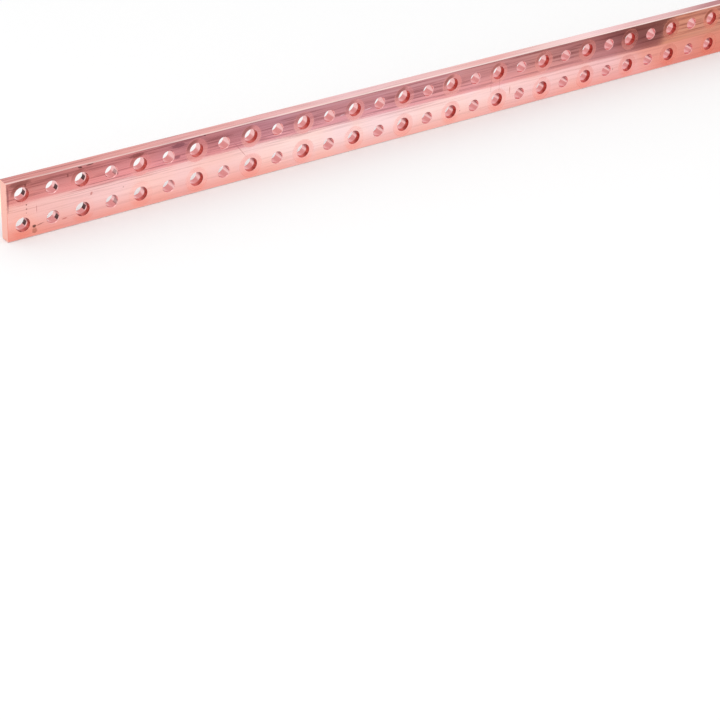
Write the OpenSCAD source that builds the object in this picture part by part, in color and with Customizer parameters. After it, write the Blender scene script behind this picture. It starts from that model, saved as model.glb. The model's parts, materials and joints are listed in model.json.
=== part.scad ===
// Grounding busbar for an equipment rack: one solid bar of copper flat stock
// with two rows of bolt holes on a square grid. Columns of flared holes, which
// widen towards the front face, take turns with columns of plain holes, and the
// first column at -X is flared.
//
// The bar stands on its bottom long edge. X runs along it, +Y is its back,
// -Y its front face with the flared mouths, and +Z is up. The origin is the
// middle of the surface that the bar stands on. Lengths are in millimetres.

/* [Flat stock] */
// Length of the bar
bar_l = 914.4; // [120:0.1:2400]
// Width of the flat stock, which is the height of the standing bar
bar_w = 50; // [45:0.5:100]
// Thickness of the flat stock
bar_t = 10; // [6:0.5:20]
// Radius of the four long edges
edge_r = 1; // [0.2:0.1:2]
// Chamfer round both sawn ends
end_chamfer = 0.4; // [0.1:0.1:1]

/* [Hole grid] */
// Distance between neighbouring columns of holes
column_pitch = 25.4; // [18:0.1:60]
// Distance between the two rows of holes
row_pitch = 25.4; // [18:0.1:28]
// Least distance from an end of the bar to the first column
end_margin = 12.7; // [10:0.1:50]

/* [Plain holes] */
// Diameter of a plain hole
plain_d = 10.5; // [5:0.1:13]

/* [Flared holes] */
// Diameter of a flared hole's bore
flared_bore_d = 11; // [5:0.1:13]
// How much wider than the bore a flared hole is at the front face
flare = 1; // [0.2:0.1:2]
// Depth from the front face at which the flare ends
flare_depth = 3.7; // [1:0.1:5]

/* [Deburred rims] */
// Chamfer at the hole rims
rim_chamfer = 0.25; // [0.1:0.05:0.4]

/* [Hidden] */
$fn = 96;
// How far a cut runs past the surface that it opens
past = 1;
// Share of a pitch that rounding in the column count may hide
count_tolerance = 0.001;

columns = floor((bar_l - 2 * end_margin) / column_pitch + count_tolerance) + 1;
column_x = [for (i = [0:columns - 1]) (i - (columns - 1) / 2) * column_pitch];
row_z = [for (side = [-1, 1]) bar_w / 2 + side * row_pitch / 2];

// Round section of the flat stock: a rectangle whose corners are quarter circles
module stock_section() {
    square([bar_t - 2 * edge_r, bar_w], center = true);
    square([bar_t, bar_w - 2 * edge_r], center = true);
    for (y = [-1, 1], z = [-1, 1])
        translate([y * (bar_t / 2 - edge_r), z * (bar_w / 2 - edge_r)])
            circle(r = edge_r);
}

// Outline of a face of the bar, with its four corners cut by the end chamfer
module chamfered_outline(length, height) {
    x = length / 2;
    y = height / 2;
    c = end_chamfer;
    polygon([
        [-x + c, -y], [x - c, -y], [x, -y + c], [x, y - c],
        [x - c, y], [-x + c, y], [-x, y - c], [-x, -y + c]
    ]);
}

// Undrilled length of stock, sawn and chamfered at both ends
module blank() {
    translate([0, 0, bar_w / 2])
        intersection() {
            rotate([90, 0, 90])
                linear_extrude(height = bar_l, center = true)
                    stock_section();
            linear_extrude(height = bar_w + 2 * past, center = true)
                chamfered_outline(bar_l, bar_t);
            rotate([90, 0, 0])
                linear_extrude(height = bar_t + 2 * past, center = true)
                    chamfered_outline(bar_l, bar_w);
        }
}

// Straight cut through the thickness, with its axis along Y
module bore(d) {
    rotate([90, 0, 0])
        cylinder(h = bar_t + 2 * past, d = d, center = true);
}

// Cone that widens a bore from diameter d, at a depth below one face of the bar,
// to rim_d at that face. The side is -1 for the front face and 1 for the back.
module rim_cone(d, rim_d, depth, side) {
    slope = (rim_d - d) / depth;
    translate([0, side * (bar_t / 2 - depth), 0])
        rotate([-side * 90, 0, 0])
            cylinder(h = depth + past, d1 = d, d2 = rim_d + past * slope);
}

// Light 45 degree chamfer that a deburring tool leaves at the rim of a bore
module deburred_rim(d, side) {
    rim_cone(d, d + 2 * rim_chamfer, rim_chamfer, side);
}

// Cut of one plain hole
module plain_hole() {
    bore(plain_d);
    for (side = [-1, 1])
        deburred_rim(plain_d, side);
}

// Cut of one flared hole
module flared_hole() {
    bore(flared_bore_d);
    rim_cone(flared_bore_d, flared_bore_d + flare, flare_depth, -1);
    deburred_rim(flared_bore_d, 1);
}

// The finished bar
module busbar() {
    color([0.80, 0.49, 0.42])
        difference() {
            blank();
            for (i = [0:columns - 1], z = row_z)
                translate([column_x[i], 0, z])
                    if (i % 2 == 0)
                        flared_hole();
                    else
                        plain_hole();
        }
}

busbar();
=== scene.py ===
"""Looks of the rack grounding busbar: bare, mill-finished copper flat stock.

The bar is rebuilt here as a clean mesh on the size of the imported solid, with
softened rims, and wears a procedural copper. The script also sets the floor, the
studio cards, the light and the camera. Lengths are in metres, in the frame of the
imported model: X along the bar, -Y the front face, Z up.
"""

import json
import math
from types import SimpleNamespace

import bmesh
import bpy
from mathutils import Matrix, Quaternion, Vector


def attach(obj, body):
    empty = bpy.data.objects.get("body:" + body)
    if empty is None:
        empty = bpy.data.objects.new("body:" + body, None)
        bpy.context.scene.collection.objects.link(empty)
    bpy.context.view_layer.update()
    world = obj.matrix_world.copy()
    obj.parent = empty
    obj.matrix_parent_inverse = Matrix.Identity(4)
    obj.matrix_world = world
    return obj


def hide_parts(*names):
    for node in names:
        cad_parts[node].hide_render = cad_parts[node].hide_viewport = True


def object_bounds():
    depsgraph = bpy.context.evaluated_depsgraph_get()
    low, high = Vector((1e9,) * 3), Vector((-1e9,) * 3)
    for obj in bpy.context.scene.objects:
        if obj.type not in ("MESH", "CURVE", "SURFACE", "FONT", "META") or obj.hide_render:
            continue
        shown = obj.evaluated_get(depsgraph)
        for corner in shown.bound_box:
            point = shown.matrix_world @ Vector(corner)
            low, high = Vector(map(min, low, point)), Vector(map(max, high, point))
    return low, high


MM = 0.001

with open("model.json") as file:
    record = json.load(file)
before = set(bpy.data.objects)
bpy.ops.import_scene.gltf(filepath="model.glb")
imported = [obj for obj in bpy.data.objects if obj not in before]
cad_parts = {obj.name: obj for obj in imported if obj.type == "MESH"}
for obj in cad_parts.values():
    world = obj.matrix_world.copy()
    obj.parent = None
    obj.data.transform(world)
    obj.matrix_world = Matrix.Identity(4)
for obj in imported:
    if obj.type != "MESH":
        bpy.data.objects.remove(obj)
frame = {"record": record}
cad_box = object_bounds()
low, high = cad_box
thickness = high.y - low.y


# ---------------------------------------------------------------- hole grid
def first_pattern(kind):
    """The bolt pattern of this kind that lies nearest the -X end."""
    mounts = [m for m in frame["record"]["mounts"] if m["name"].startswith(kind)]
    return min(mounts, key=lambda m: m["pos_m"][0])


flared = first_pattern("flared_holes")
plain = first_pattern("plain_holes")
column_pitch = flared["dims"]["spacing_x_mm"] * MM / 2
row_pitch = flared["dims"]["spacing_y_mm"] * MM
first_column_x = flared["pos_m"][0] - column_pitch
rows_middle_z = flared["pos_m"][2]
lower_row_z = rows_middle_z - row_pitch / 2
upper_row_z = rows_middle_z + row_pitch / 2
column_count = round((high.x - low.x - column_pitch) / column_pitch) + 1
flared_r = flared["dims"]["hole_r_mm"] * MM
plain_r = plain["dims"]["hole_r_mm"] * MM

# forms that the solid has and the mounts don't state
mouth_r = flared_r + 0.5 * MM
flare_depth = 3.7 * MM
rim_chamfer = 0.25 * MM
edge_r = 1.0 * MM
end_chamfer = 0.4 * MM
rim_round = 0.12 * MM


# ------------------------------------------------------------- shader helper
class Shader:
    """Short calls for building one node tree."""

    def __init__(self, tree):
        self.tree = tree
        tree.nodes.clear()

    def node(self, kind, **sockets):
        made = self.tree.nodes.new(kind)
        for name, value in sockets.items():
            self.feed(made.inputs[name.replace("_", " ")], value)
        return made

    def feed(self, socket, value):
        if isinstance(value, bpy.types.NodeSocket):
            self.tree.links.new(value, socket)
        else:
            socket.default_value = value

    def math(self, operation, *values):
        made = self.tree.nodes.new("ShaderNodeMath")
        made.operation = operation
        for socket, value in zip(made.inputs, values):
            self.feed(socket, value)
        return made.outputs[0]

    def product(self, *values):
        total = values[0]
        for value in values[1:]:
            total = self.math("MULTIPLY", total, value)
        return total

    def sum(self, *values):
        total = values[0]
        for value in values[1:]:
            total = self.math("ADD", total, value)
        return total

    def difference(self, value, taken):
        return self.math("SUBTRACT", value, taken)

    def size(self, value):
        return self.math("ABSOLUTE", value)

    def scaled(self, value, factor, offset=0.0):
        return self.math("MULTIPLY_ADD", value, factor, offset)

    def step(self, value, start, end, low=0.0, high=1.0):
        """Smooth change from low to high while value goes from start to end."""
        made = self.tree.nodes.new("ShaderNodeMapRange")
        made.interpolation_type = "SMOOTHSTEP"
        for socket, number in zip(made.inputs, (value, start, end, low, high)):
            self.feed(socket, number)
        return made.outputs[0]

    def band(self, value, start, end, soft):
        """1 while value lies between start and end, with soft edges."""
        return self.product(self.step(value, start - soft, start), self.step(value, end + soft, end))

    def mix(self, share, a, b, blend="MIX"):
        made = self.tree.nodes.new("ShaderNodeMix")
        made.data_type = "RGBA"
        made.blend_type = blend
        self.feed(made.inputs[0], share)
        self.feed(made.inputs[6], a)
        self.feed(made.inputs[7], b)
        return made.outputs[2]

    def tint(self, base, colour, *masks):
        """Lays the colour over the base where all the masks and shares allow it."""
        return self.mix(self.product(*masks), base, colour)

    def mix_value(self, share, a, b):
        made = self.tree.nodes.new("ShaderNodeMix")
        made.data_type = "FLOAT"
        self.feed(made.inputs[0], share)
        self.feed(made.inputs[2], a)
        self.feed(made.inputs[3], b)
        return made.outputs[0]

    def vector(self, x, y, z):
        made = self.tree.nodes.new("ShaderNodeCombineXYZ")
        for socket, value in zip(made.inputs, (x, y, z)):
            self.feed(socket, value)
        return made.outputs[0]

    def split(self, vector):
        made = self.tree.nodes.new("ShaderNodeSeparateXYZ")
        self.feed(made.inputs[0], vector)
        return made.outputs

    def place(self):
        """The shaded point in the object's own coordinates."""
        return self.node("ShaderNodeTexCoord").outputs["Object"]

    def noise(self, vector, scale, detail, rough):
        made = self.tree.nodes.new("ShaderNodeTexNoise")
        self.feed(made.inputs["Vector"], vector)
        self.feed(made.inputs["Scale"], scale)
        self.feed(made.inputs["Detail"], detail)
        self.feed(made.inputs["Roughness"], rough)
        return made.outputs["Fac"]

    def stretched_noise(self, axes, scales, detail, rough):
        """Noise with a scale of its own along each axis."""
        stretched = [self.product(axis, scale) for axis, scale in zip(axes, scales)]
        return self.noise(self.vector(*stretched), 1.0, detail, rough)

    def random(self, vector):
        made = self.tree.nodes.new("ShaderNodeTexWhiteNoise")
        made.noise_dimensions = "3D"
        self.feed(made.inputs["Vector"], vector)
        return made.outputs["Value"]

    def ramp(self, value, start, end, stops):
        """Colours along value. The stops are (place, colour), placed from start to end."""
        made = self.tree.nodes.new("ShaderNodeValToRGB")
        self.feed(made.inputs[0], self.math("DIVIDE", self.difference(value, start), end - start))
        elements = made.color_ramp.elements
        while len(elements) < len(stops):
            elements.new(0.5)
        for element, (place, colour) in zip(elements, stops):
            element.position = (place - start) / (end - start)
            element.color = (*colour, 1.0)
        return made.outputs[0]

    def finish(self, shader):
        """Sends the shader node to the material's surface."""
        out = self.node("ShaderNodeOutputMaterial")
        self.tree.links.new(shader.outputs[0], out.inputs["Surface"])


def new_material(name):
    made = bpy.data.materials.new(name)
    made.use_nodes = True
    return made, Shader(made.node_tree)


def rgb(r, g, b):
    """Colour written as display values from 0 to 255."""

    def linear(c):
        c /= 255
        return c / 12.92 if c <= 0.04045 else ((c + 0.055) / 1.055) ** 2.4

    return (linear(r), linear(g), linear(b), 1.0)


# ---------------------------------------------------------------- the copper
SOOT = rgb(72, 54, 44)
RUST = rgb(178, 84, 70)
BROWN = rgb(118, 70, 60)
TAN = rgb(150, 106, 98)
OLIVE = rgb(158, 112, 84)
MAUVE = rgb(134, 96, 108)
ROSE = rgb(186, 122, 120)
BARE = rgb(255, 244, 240)

# marks of handling on the front face: column and row counted in pitches from the
# first hole of the lower row, half length and half height in millimetres, tilt in
# degrees, colour, strength
MARKS = [
    (-0.05, 1.37, 9.5, 2.4, 2, TAN, 0.6),
    (0.13, 1.28, 0.9, 1.3, 0, BROWN, 0.6),
    (-0.46, 0.95, 1.2, 12.0, 0, MAUVE, 0.45),
    (0.14, 0.63, 0.6, 0.6, 0, BROWN, 0.9),
    (0.14, 0.49, 0.7, 0.6, 0, BROWN, 0.9),
    (0.13, 0.36, 0.4, 0.5, 0, BROWN, 0.6),
    (0.47, 0.42, 0.3, 3.6, 0, ROSE, 0.7),
    (0.37, -0.14, 1.6, 1.3, 0, SOOT, 0.85),
    (0.56, -0.12, 3.6, 0.5, 12, BROWN, 0.55),
    (0.38, -0.29, 2.3, 2.4, 0, OLIVE, 0.55),
    (1.38, -0.15, 2.4, 0.6, 4, RUST, 0.55),
    (1.53, 1.25, 0.8, 1.7, 0, BROWN, 0.55),
    (1.95, 1.41, 2.0, 0.8, -12, SOOT, 0.8),
    (2.28, 1.43, 3.4, 0.6, 4, SOOT, 0.7),
    (2.30, 0.45, 1.0, 1.7, -25, RUST, 0.55),
    (3.22, 0.90, 0.5, 1.7, 0, SOOT, 0.6),
    (3.40, 0.39, 0.6, 0.5, 0, BROWN, 0.7),
    (3.90, 1.34, 7.5, 1.8, 3, BROWN, 0.5),
    (5.35, 1.31, 7.0, 2.2, 0, MAUVE, 0.55),
    (5.30, 0.92, 3.4, 1.5, 0, MAUVE, 0.6),
    (6.30, 1.43, 0.9, 0.6, 0, SOOT, 0.7),
    (7.62, 0.60, 11.0, 0.3, -52, ROSE, 0.6),
    (11.50, 0.92, 2.6, 0.35, 8, BARE, 0.9),
    (12.52, 0.90, 4.2, 0.45, 6, BARE, 0.9),
    (16.40, -0.05, 0.6, 0.6, 0, BROWN, 0.6),
    (17.70, 0.60, 0.3, 9.0, 0, ROSE, 0.45),
    (18.07, 0.60, 0.3, 9.0, 0, ROSE, 0.45),
    (18.55, 0.25, 0.6, 4.2, 0, RUST, 0.5),
    (23.30, -0.02, 0.6, 1.1, 0, BROWN, 0.5),
]


def add_marks(s, at, grain, base):
    """Lays the marks over the base colour, each an ellipse with a frayed edge."""
    fray = s.scaled(grain, 1.6, -0.8)  # centred on zero
    for column, row, half_length, half_height, tilt, colour, strength in MARKS:
        along = s.difference(at.x, first_column_x + column * column_pitch)
        up = s.difference(at.z, lower_row_z + row * row_pitch)
        long, tall = half_length * MM, half_height * MM
        cos, sin = math.cos(math.radians(tilt)), math.sin(math.radians(tilt))
        u = s.sum(s.product(along, cos / long), s.product(up, sin / long))
        v = s.sum(s.product(along, -sin / tall), s.product(up, cos / tall))
        reach = s.sum(s.product(u, u), s.product(v, v), fray)
        base = s.tint(base, colour, s.step(reach, 1.3, 0.3, 0.0, strength), at.front)
    return base


def locate(s):
    """Where the shaded point lies on the bar: its nearest hole and its surface."""
    at = SimpleNamespace(place=s.place())
    at.x, at.y, at.z = s.split(at.place)
    at.depth = s.difference(at.y, low.y)

    # the nearest hole, and the way from its centre
    across = s.math("DIVIDE", s.difference(at.x, first_column_x), column_pitch)
    at.column = s.math("ROUND", across)
    at.above = s.difference(at.z, rows_middle_z)
    at.row = s.math("SIGN", at.above)
    at.dx = s.product(s.difference(across, at.column), column_pitch)
    at.dz = s.difference(at.above, s.product(at.row, row_pitch / 2))
    at.r = s.math("SQRT", s.sum(s.product(at.dx, at.dx), s.product(at.dz, at.dz)))
    at.is_flared = s.difference(1.0, s.size(s.math("MODULO", at.column, 2.0)))
    at.is_upper = s.step(at.above, -0.1 * MM, 0.1 * MM)
    at.is_lower = s.difference(1.0, at.is_upper)

    # which surface this is, told by its normal
    normal_x, normal_y, normal_z = s.split(s.node("ShaderNodeNewGeometry").outputs["True Normal"])
    at.front = s.step(normal_y, -0.9, -0.99)
    at_end = s.step(s.size(at.x), high.x - 0.3 * MM, high.x - 0.1 * MM)
    at.sawn = s.product(s.step(s.size(normal_x), 0.97, 0.995), at_end)
    steep = s.step(s.size(normal_y), 0.9, 0.8)
    at.in_hole = s.product(s.step(at.r, mouth_r + 0.3 * MM, mouth_r + 0.15 * MM), steep)
    away_from_holes = s.step(at.r, 9 * MM, 10 * MM)
    at.long_edge = s.product(s.band(s.size(normal_z), 0.2, 0.97, 0.1), away_from_holes)
    return at


def finish_noise(s, at):
    """The streaks of rolling and drawing along the bar, and what varies more slowly."""
    axes = (at.x, at.y, at.z)
    return SimpleNamespace(
        broad=s.stretched_noise(axes, (5.0, 260.0, 260.0), 3.0, 0.55),
        drawn=s.stretched_noise(axes, (14.0, 520.0, 520.0), 4.0, 0.65),
        fine=s.stretched_noise(axes, (9.0, 1100.0, 1100.0), 3.0, 0.6),
        patches=s.stretched_noise(axes, (30.0, 30.0, 75.0), 3.0, 0.6),
        torn=s.stretched_noise(axes, (500.0, 120.0, 500.0), 3.0, 0.6),
        clouds=s.noise(at.place, 24.0, 3.0, 0.55),
        grain=s.noise(at.place, 900.0, 2.0, 0.6),
    )


def mill_finish(s, at, noise):
    """Bare copper with dark and light drawing streaks, full over the upper half, where they also
    stand as painted shade that darkens it.
    """
    # painted shade in part: the streaks come in full over the upper half and darken it
    upper_streaks_and_shade = s.step(at.above, -4 * MM, 9 * MM, 0.15, 1.0)
    base = s.mix(s.step(noise.clouds, 0.35, 0.65), rgb(246, 198, 190), rgb(243, 199, 197))
    # noise, where a streak starts and is full, its strength, its colour
    streaks = [
        (noise.broad, 0.5, 0.7, 0.4, rgb(192, 134, 134)),
        (noise.broad, 0.46, 0.28, 0.45, rgb(255, 226, 220)),
        (noise.drawn, 0.5, 0.63, 0.6, rgb(160, 106, 104)),
        (noise.drawn, 0.44, 0.3, 0.4, rgb(255, 230, 226)),
        (noise.fine, 0.52, 0.75, 0.35, rgb(186, 126, 122)),
    ]
    for pattern, start, full, strength, colour in streaks:
        base = s.tint(base, colour, s.step(pattern, start, full), upper_streaks_and_shade, strength)
    return base


def worn_discs(s, at, noise):
    """The worn disc round each flared hole and its outline, fainter at the -X end."""
    disc_r = s.scaled(s.random(s.vector(at.column, at.row, 1.0)), 0.9 * MM, 9.8 * MM)
    inside = s.difference(disc_r, at.r)
    share = s.product(at.is_flared, at.front, s.step(at.column, 1.0, 9.0, 0.25, 1.0))
    uneven = s.step(noise.patches, 0.3, 0.6, 0.45, 1.0)
    disc = s.product(s.step(inside, -0.5 * MM, 1.0 * MM), share, uneven)
    line = s.band(inside, -0.1 * MM, 0.15 * MM, 0.2 * MM)
    outline = s.product(line, share, s.step(noise.patches, 0.42, 0.62))
    return disc, outline


def hole_wear_and_painted_light(s, at, noise, disc, outline, base):
    """Lays the worn discs and the painted shade and reflections round the flared holes over the base
    colour.
    """
    # painted reflection: a warm tint below each lower hole
    painted_reflection_below = s.product(s.step(at.dz, -3 * MM, -7 * MM), s.step(at.r, 13 * MM, 7 * MM))
    base = s.tint(base, rgb(238, 158, 142), painted_reflection_below, at.is_flared, at.front, at.is_lower, 0.45)

    # the disc, and its outline: the disc is real wear; its stronger tint on the upper row, and the
    # outline dark on the lower row and pale on the upper, are painted reflection
    base = s.tint(base, rgb(255, 180, 170), disc, s.scaled(at.is_upper, 0.3, 0.4))
    outline_reflection_colour = s.mix(at.is_upper, rgb(222, 146, 130), rgb(255, 226, 216))
    base = s.tint(base, outline_reflection_colour, outline, 0.3)

    # painted shade: a brown arc up and to the left of each upper hole
    towards = s.math("DIVIDE", s.sum(s.product(at.dx, -0.64), s.product(at.dz, 0.77)), at.r)
    painted_shade_arc = s.product(s.band(at.r, 7.0 * MM, 8.8 * MM, 1.0 * MM), s.step(towards, 0.45, 0.95))
    painted_shade_arc = s.product(painted_shade_arc, at.is_upper, at.is_flared, at.front)
    return s.tint(base, rgb(140, 92, 80), painted_shade_arc, s.step(noise.clouds, 0.35, 0.6, 0.35, 1.0), 0.65)


def torn_land(s, at, noise):
    """The flared mouth's torn wall: where it is, and its colour, deepest at the right, where painted
    shade darkens it.
    """
    flare = s.step(at.depth, flare_depth + 0.05 * MM, flare_depth - 0.1 * MM)
    land = s.product(at.in_hole, at.is_flared, flare)
    shaded_torn_red = s.mix(s.step(noise.torn, 0.35, 0.65), rgb(212, 104, 94), rgb(174, 70, 62))
    # painted shade: the torn wall darker red towards the right, pink towards the lower left
    towards = s.math("DIVIDE", s.sum(at.dx, s.product(at.dz, 0.5)), at.r)
    return land, s.mix(s.step(towards, -0.5, 0.7), rgb(232, 150, 142), shaded_torn_red)


def bore_dark_reflection(s, at):
    """Painted reflection of something dark: a dark patch on the lower right wall of the bores in the
    first columns.
    """
    lower_right = s.band(s.math("ARCTAN2", at.dz, at.dx), -0.75, -0.12, 0.08)
    first_columns = s.step(at.column, 3.2, 2.8)
    inner = s.difference(at.depth, s.scaled(at.is_flared, 4.2 * MM, 1.0 * MM))
    return s.product(at.in_hole, first_columns, lower_right, s.band(inner, 0.0, 4.6 * MM, 0.3 * MM))


def copper():
    made, s = new_material("copper")
    at = locate(s)
    noise = finish_noise(s, at)
    disc, outline = worn_discs(s, at, noise)
    land, land_colour_and_shade = torn_land(s, at, noise)

    base = mill_finish(s, at, noise)
    base = hole_wear_and_painted_light(s, at, noise, disc, outline, base)
    base = add_marks(s, at, noise.grain, base)
    # painted highlight along the rounded long edges, stronger towards +X
    painted_edge_highlight = s.step(at.column, 0.0, 14.0, 0.15, 0.75)
    base = s.tint(base, rgb(255, 232, 226), at.long_edge, painted_edge_highlight)
    base = s.tint(base, rgb(252, 190, 175), at.sawn)
    base = s.tint(base, rgb(245, 190, 189), at.in_hole)
    base = s.tint(base, land_colour_and_shade, land)
    # painted reflection: a dark patch in the first bores
    base = s.tint(base, rgb(58, 26, 26), bore_dark_reflection(s, at), 0.94)

    dull_bands = s.step(noise.broad, 0.42, 0.75, 0.0, 0.09)
    dull_lines = s.step(noise.drawn, 0.45, 0.75, 0.0, 0.1)
    rough = s.sum(0.055, dull_bands, dull_lines)
    for mask, roughness in ((disc, 0.34), (at.sawn, 0.32), (at.in_hole, 0.18), (land, 0.3)):
        rough = s.mix_value(mask, rough, roughness)

    lines = s.sum(s.product(noise.fine, 0.4), noise.broad, s.product(noise.drawn, 0.5))
    height = s.sum(lines, s.product(noise.grain, 0.1))
    bump = s.node("ShaderNodeBump", Strength=0.06, Distance=0.3 * MM, Height=height)
    s.finish(s.node(
        "ShaderNodeBsdfPrincipled",
        Base_Color=base,
        Metallic=1.0,
        Roughness=rough,
        Normal=bump.outputs[0],
    ))
    return made


# ------------------------------------------------------------------- the bar
SEGMENTS = 48  # round a hole
SIDE = SEGMENTS // 4  # along one side of a hole's square
ARC = 6  # over a rounded long edge
MERGE = 1e-6  # points closer than this are one

# hole profiles from the front face through to the back, as (radius, depth)
FLARED = [
    (mouth_r + rim_round, 0.0),
    (mouth_r + 0.3 * rim_round, 0.3 * rim_round),
    (mouth_r, rim_round),
    (flared_r, flare_depth),
    (flared_r, thickness - rim_chamfer),
    (flared_r + rim_chamfer, thickness),
]
PLAIN = [
    (plain_r + rim_chamfer, 0.0),
    (plain_r, rim_chamfer),
    (plain_r, thickness - rim_chamfer),
    (plain_r + rim_chamfer, thickness),
]


def circle_points(cx, cz, radius):
    """Points of a circle, from its lower left on and round by way of the right."""
    angles = [2 * math.pi * (k / SEGMENTS - 0.375) for k in range(SEGMENTS)]
    return [(cx + radius * math.cos(a), cz + radius * math.sin(a)) for a in angles]


def outline_points(x0, z0, x1, z1):
    """Points of a rectangle's outline, in step with circle_points."""
    corners = [(x0, z0), (x1, z0), (x1, z1), (x0, z1)]
    points = []
    for (ax, az), (bx, bz) in zip(corners, corners[1:] + corners[:1]):
        points += [(ax + (bx - ax) * i / SIDE, az + (bz - az) * i / SIDE) for i in range(SIDE)]
    return points


def add_cell(mesh, box, centre, profile):
    """One square of the bar, with its hole and both faces round it."""
    outline = outline_points(*box)
    layers = [(outline, 0.0)]
    layers += [(circle_points(*centre, radius), depth) for radius, depth in profile]
    layers += [(outline, thickness)]
    rings = [[mesh.verts.new((x, low.y + depth, z)) for x, z in points] for points, depth in layers]
    for near, far in zip(rings, rings[1:]):
        for k in range(SEGMENTS):
            after = (k + 1) % SEGMENTS
            mesh.faces.new((near[k], near[after], far[after], far[k]))


def add_long_edges(mesh, x0, x1):
    """The narrow top and bottom faces with their rounded edges, over one column."""
    quarter = [math.pi / 2 * k / ARC for k in range(ARC + 1)]
    section = [(low.y + edge_r * (1 - math.cos(a)), edge_r * (1 - math.sin(a))) for a in quarter]
    section += [(-y, drop) for y, drop in reversed(section)]
    xs = [x0 + (x1 - x0) * k / SIDE for k in range(SIDE + 1)]
    for outer_z, inward in ((high.z, -1), (low.z, 1)):
        levels = [(y, outer_z + inward * drop) for y, drop in section]
        rows = [[mesh.verts.new((x, y, z)) for x in xs] for y, z in levels]
        for near, far in zip(rows, rows[1:]):
            for k in range(SIDE):
                mesh.faces.new((near[k], near[k + 1], far[k + 1], far[k]))


def add_end(mesh, end, inner):
    """Chamfer and flat face that close one sawn end."""
    open_edges = [e for e in mesh.edges if e.is_boundary]
    rim = [e for e in open_edges if all(abs(v.co.x - inner) < MERGE for v in e.verts)]
    made = bmesh.ops.extrude_edge_only(mesh, edges=rim)["geom"]
    for item in made:
        if isinstance(item, bmesh.types.BMVert):
            y = max(low.y + end_chamfer, min(high.y - end_chamfer, item.co.y))
            z = max(low.z + end_chamfer, min(high.z - end_chamfer, item.co.z))
            item.co = (end, y, z)
    bmesh.ops.contextual_create(mesh, geom=[e for e in made if isinstance(e, bmesh.types.BMEdge)])


def bar_mesh():
    """The whole bar, one column of holes after another, and its two ends."""
    mesh = bmesh.new()
    for i in range(column_count):
        cx = first_column_x + i * column_pitch
        x0 = low.x + end_chamfer if i == 0 else cx - column_pitch / 2
        x1 = high.x - end_chamfer if i == column_count - 1 else cx + column_pitch / 2
        profile = FLARED if i % 2 == 0 else PLAIN
        add_cell(mesh, (x0, low.z + edge_r, x1, rows_middle_z), (cx, lower_row_z), profile)
        add_cell(mesh, (x0, rows_middle_z, x1, high.z - edge_r), (cx, upper_row_z), profile)
        add_long_edges(mesh, x0, x1)
    bmesh.ops.remove_doubles(mesh, verts=mesh.verts, dist=MERGE)
    add_end(mesh, low.x, low.x + end_chamfer)
    add_end(mesh, high.x, high.x - end_chamfer)
    bmesh.ops.recalc_face_normals(mesh, faces=mesh.faces)
    data = bpy.data.meshes.new("copper_bar")
    mesh.to_mesh(data)
    mesh.free()
    return data


def build_bar():
    data = bar_mesh()
    data.materials.append(copper())
    data.shade_smooth()
    data.set_sharp_from_angle(angle=math.radians(35))
    bar = bpy.data.objects.new("copper_bar", data)
    bpy.context.scene.collection.objects.link(bar)
    flat_faces = bar.modifiers.new("flat_faces", "WEIGHTED_NORMAL")
    flat_faces.keep_sharp = True
    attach(bar, "root")
    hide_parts("busbar")


build_bar()


# ----------------------------------------------------------------- the studio
CARD_STRENGTH = 1.3
CARD_GAP = 0.5 * MM  # between a card and the bar or the floor


def surface_material(name, make_shader):
    made, s = new_material(name)
    s.finish(make_shader(s))
    return made


def stage_sheet(name, corners, material):
    mesh = bpy.data.meshes.new(name)
    mesh.from_pydata([Vector(c) for c in corners], [], [(0, 1, 2, 3)])
    mesh.materials.append(material)
    made = bpy.data.objects.new(name, mesh)
    bpy.context.scene.collection.objects.link(made)
    return made


def level(x0, y0, x1, y1, z):
    return [(x0, y0, z), (x1, y0, z), (x1, y1, z), (x0, y1, z)]


def upright(x0, z0, x1, z1, y):
    return [(x0, y, z0), (x1, y, z0), (x1, y, z1), (x0, y, z1)]


def floor_shader(s):
    return s.node("ShaderNodeBsdfDiffuse", Color=(0.895, 0.895, 0.895, 1))


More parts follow.
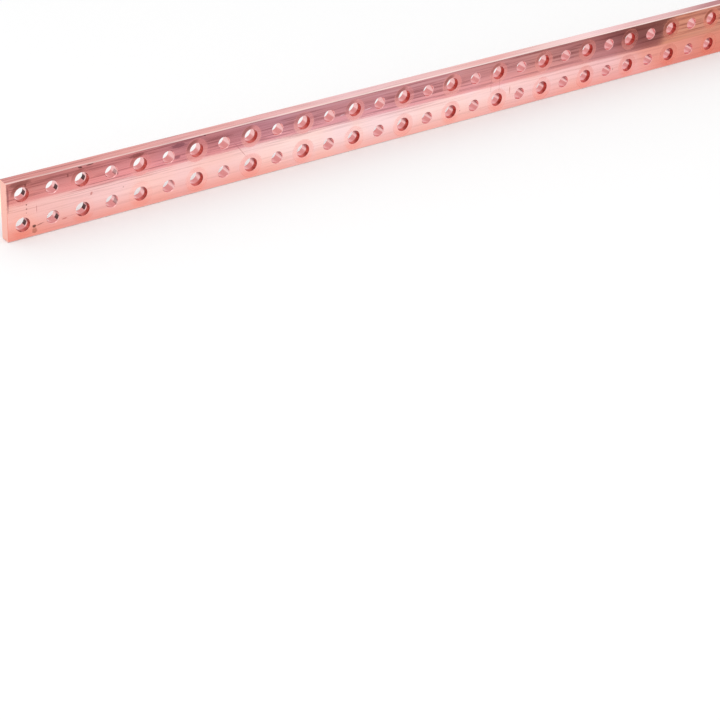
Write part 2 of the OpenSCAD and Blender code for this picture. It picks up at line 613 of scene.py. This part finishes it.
def front_card_shader(s):
    """White paper in front of the bar up to a slanting edge, and dusk or tan past it."""
    x, y, _ = s.split(s.place())
    distance = s.difference(low.y, y)

    # the paper's edge runs in three straight stretches
    edge = s.math("MINIMUM", s.scaled(x, -0.0093, 0.0489), s.scaled(x, -0.0299, 0.0452))
    edge = s.math("MAXIMUM", edge, s.scaled(x, -0.0181, 0.0452))
    past_edge = s.difference(distance, edge)

    # the paper, warmer close to the bar: painted bounce light from the copper
    paper = s.ramp(x, -0.5, 0.5, [
        (-0.45, (0.81, 0.65, 0.60)),
        (-0.40, (0.80, 0.72, 0.69)),
        (-0.35, (0.83, 0.81, 0.81)),
        (-0.24, (0.83, 0.82, 0.82)),
        (-0.18, (0.86, 0.98, 1.00)),
        (0.03, (0.85, 0.92, 0.94)),
        (0.12, (0.82, 0.77, 0.77)),
        (0.185, (0.79, 0.71, 0.72)),
        (0.215, (0.71, 0.49, 0.44)),
        (0.30, (0.62, 0.36, 0.29)),
    ])
    painted_bounce_fade = s.step(distance, -2 * MM, 34 * MM)
    near = s.mix(s.step(x, 0.1, 0.28), (0.91, 0.62, 0.57, 1), (0.97, 0.76, 0.74, 1))
    paper = s.mix(1.0, paper, s.mix(painted_bounce_fade, near, (1, 1, 1, 1)), "MULTIPLY")

    # the dusk, lighter close to the edge, and tan at the far +X corner
    dusk = s.ramp(x, -0.5, 0.5, [
        (-0.40, (0.46, 0.27, 0.265)),
        (-0.31, (0.53, 0.31, 0.335)),
        (-0.25, (0.43, 0.26, 0.295)),
        (-0.15, (0.45, 0.32, 0.385)),
        (0.02, (0.50, 0.34, 0.37)),
        (0.12, (0.46, 0.31, 0.31)),
        (0.174, (0.36, 0.23, 0.24)),
        (0.20, (0.31, 0.185, 0.195)),
        (0.23, (0.20, 0.105, 0.105)),
        (0.30, (0.19, 0.105, 0.09)),
    ])
    lift = s.step(past_edge, 28 * MM, 3 * MM, 1.0, 1.45)
    dusk = s.mix(1.0, dusk, s.vector(lift, lift, lift), "MULTIPLY")
    past_corner = s.difference(x, s.scaled(distance, 1.25, 0.195))
    dusk = s.mix(s.step(past_corner, -6 * MM, 6 * MM), dusk, (0.57, 0.375, 0.28, 1))

    colour = s.mix(s.step(past_edge, -0.4 * MM, 0.4 * MM), paper, dusk)
    return s.node("ShaderNodeEmission", Color=colour, Strength=CARD_STRENGTH)


def back_card_shader(s):
    """Bounce panel behind the bar, which the narrow top face shows."""
    x = s.split(s.place())[0]
    colour = s.ramp(x, -0.5, 1.2, [
        (-0.16, (0.60, 0.39, 0.39)),
        (0.0, (0.66, 0.47, 0.47)),
        (0.15, (0.70, 0.52, 0.53)),
        (0.30, (0.71, 0.61, 0.65)),
        (0.45, (0.70, 0.56, 0.57)),
        (0.525, (0.69, 0.49, 0.49)),
        (0.60, (0.73, 0.65, 0.66)),
        (0.68, (0.77, 0.71, 0.75)),
        (0.75, (0.70, 0.57, 0.60)),
        (0.83, (0.64, 0.53, 0.56)),
        (0.90, (0.43, 0.27, 0.29)),
    ])
    return s.node("ShaderNodeEmission", Color=colour, Strength=CARD_STRENGTH)


def rear_shade_shader(s):
    """Shade on the floor close behind the bar."""
    y = s.split(s.place())[1]
    fading = s.step(y, high.y + 8 * MM, high.y + 20 * MM)
    colour = s.mix(fading, (0.34, 0.17, 0.18, 1), (0.8, 0.7, 0.7, 1))
    return s.node("ShaderNodeEmission", Color=colour)


def card(name, corners, shader):
    """A studio card that only reflections show."""
    made = stage_sheet(name, corners, surface_material(name, shader))
    made.visible_camera = False
    made.visible_diffuse = False
    made.visible_shadow = False
    return made


stage_sheet("floor", level(-4, -4, 4, 4, low.z), surface_material("floor_white", floor_shader))
front_sheet = level(low.x - 0.2, low.y - 0.6, high.x + 0.8, low.y - CARD_GAP, CARD_GAP)
rear_sheet = level(low.x, high.y + CARD_GAP, high.x, high.y + 22 * MM, CARD_GAP)
back_sheet = upright(-0.8, 0.15, 1.8, 0.9, 0.6)
card("front_card", front_sheet, front_card_shader)
card("rear_shade", rear_sheet, rear_shade_shader)
card("back_card", back_sheet, back_card_shader)

world = bpy.data.worlds.new("studio")
bpy.context.scene.world = world
world.use_nodes = True
background = world.node_tree.nodes["Background"]
background.inputs["Color"].default_value = (1, 1, 1, 1)
background.inputs["Strength"].default_value = 1.0


def turn_to(item, aim):
    """Turns a lamp or a camera from where it stands towards a point."""
    item.rotation_mode = "QUATERNION"
    item.rotation_quaternion = (aim - item.location).to_track_quat("-Z", "Y")


def place_key():
    """One soft lamp up and to the left, in front of the bar."""
    lamp = bpy.data.lights.new("key", "AREA")
    lamp.shape = "RECTANGLE"
    lamp.size = 1.6
    lamp.size_y = 1.6
    lamp.energy = 8.0
    key = bpy.data.objects.new("key", lamp)
    key.location = (-0.9, -0.6, 1.9)
    turn_to(key, Vector((0, 0, 0)))
    bpy.context.scene.collection.objects.link(key)


place_key()


# ----------------------------------------------------------------- the camera
def place_camera():
    """From above and in front of the left end, with the bar running off to the right."""
    stand = Vector((low.x - 0.5772, low.y - 1.2286, 0.7282))
    aim = Vector((low.x + 0.2312, low.y - 0.1323, low.z))
    roll = math.radians(2.59)
    lens = bpy.data.cameras.new("camera")
    lens.lens = 100.7
    lens.shift_y = -1 / 6
    camera = bpy.data.objects.new("camera", lens)
    camera.location = stand
    turn_to(camera, aim)
    camera.rotation_quaternion @= Quaternion((0, 0, 1), roll)
    bpy.context.scene.collection.objects.link(camera)
    bpy.context.scene.camera = camera


place_camera()
bpy.context.scene.view_settings.view_transform = "Standard"
